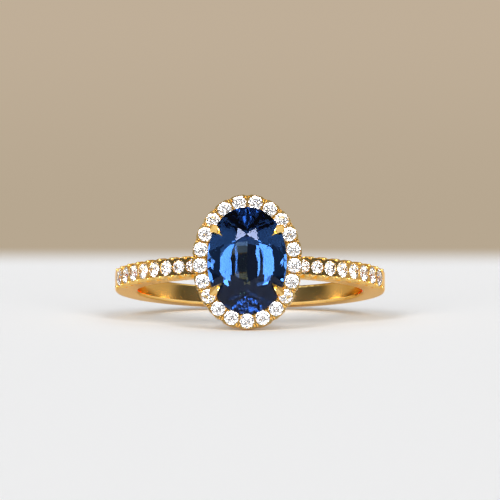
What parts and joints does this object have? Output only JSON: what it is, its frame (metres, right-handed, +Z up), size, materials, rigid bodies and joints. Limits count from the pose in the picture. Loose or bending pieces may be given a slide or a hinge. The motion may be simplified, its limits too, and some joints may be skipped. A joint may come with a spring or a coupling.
{
  "type": "engagement ring",
  "caption": "Oval halo engagement ring: a blue mixed-cut stone in pointed claws, framed by small brilliants, on a slim yellow metal band with pave-set shoulders.",
  "frame": {"origin": "centre of the finger hole, in the middle of the band's width", "axes": "+Z up off the surface the ring lies on, +X across the band, -Y the way the head faces; the ring lies on its side, so the finger axis leans from +Z towards +Y by the rest angle"},
  "size_m": [0.0198, 0.0231, 0.0094],
  "materials": {
    "yellow_gold": "polished yellow gold",
    "sapphire": "polished blue gemstone, faceted",
    "diamond": "polished colourless gemstone, faceted"
  },
  "bodies": {
    "root": {"base_rail": "yellow_gold", "bridge_left": "yellow_gold", "bridge_right": "yellow_gold", "center_sapphire": "sapphire", "claw_lower_left": "yellow_gold", "claw_lower_right": "yellow_gold", "claw_upper_left": "yellow_gold", "claw_upper_right": "yellow_gold", "gallery_rail": "yellow_gold", "halo_diamond_01": "diamond", "halo_diamond_02": "diamond", "halo_diamond_03": "diamond", "halo_diamond_04": "diamond", "halo_diamond_05": "diamond", "halo_diamond_06": "diamond", "halo_diamond_07": "diamond", "halo_diamond_08": "diamond", "halo_diamond_09": "diamond", "halo_diamond_10": "diamond", "halo_diamond_11": "diamond", "halo_diamond_12": "diamond", "halo_diamond_13": "diamond", "halo_diamond_14": "diamond", "halo_diamond_15": "diamond", "halo_diamond_16": "diamond", "halo_diamond_17": "diamond", "halo_diamond_18": "diamond", "halo_diamond_19": "diamond", "halo_diamond_20": "diamond", "halo_diamond_21": "diamond", "halo_plate": "yellow_gold", "shank": "yellow_gold", "shoulder_diamond_left_1": "diamond", "shoulder_diamond_left_2": "diamond", "shoulder_diamond_left_3": "diamond", "shoulder_diamond_left_4": "diamond", "shoulder_diamond_left_5": "diamond", "shoulder_diamond_left_6": "diamond", "shoulder_diamond_left_7": "diamond", "shoulder_diamond_left_8": "diamond", "shoulder_diamond_right_1": "diamond", "shoulder_diamond_right_2": "diamond", "shoulder_diamond_right_3": "diamond", "shoulder_diamond_right_4": "diamond", "shoulder_diamond_right_5": "diamond", "shoulder_diamond_right_6": "diamond", "shoulder_diamond_right_7": "diamond", "shoulder_diamond_right_8": "diamond", "strut_lower": "yellow_gold", "strut_upper": "yellow_gold"}
  },
  "joints": []
}
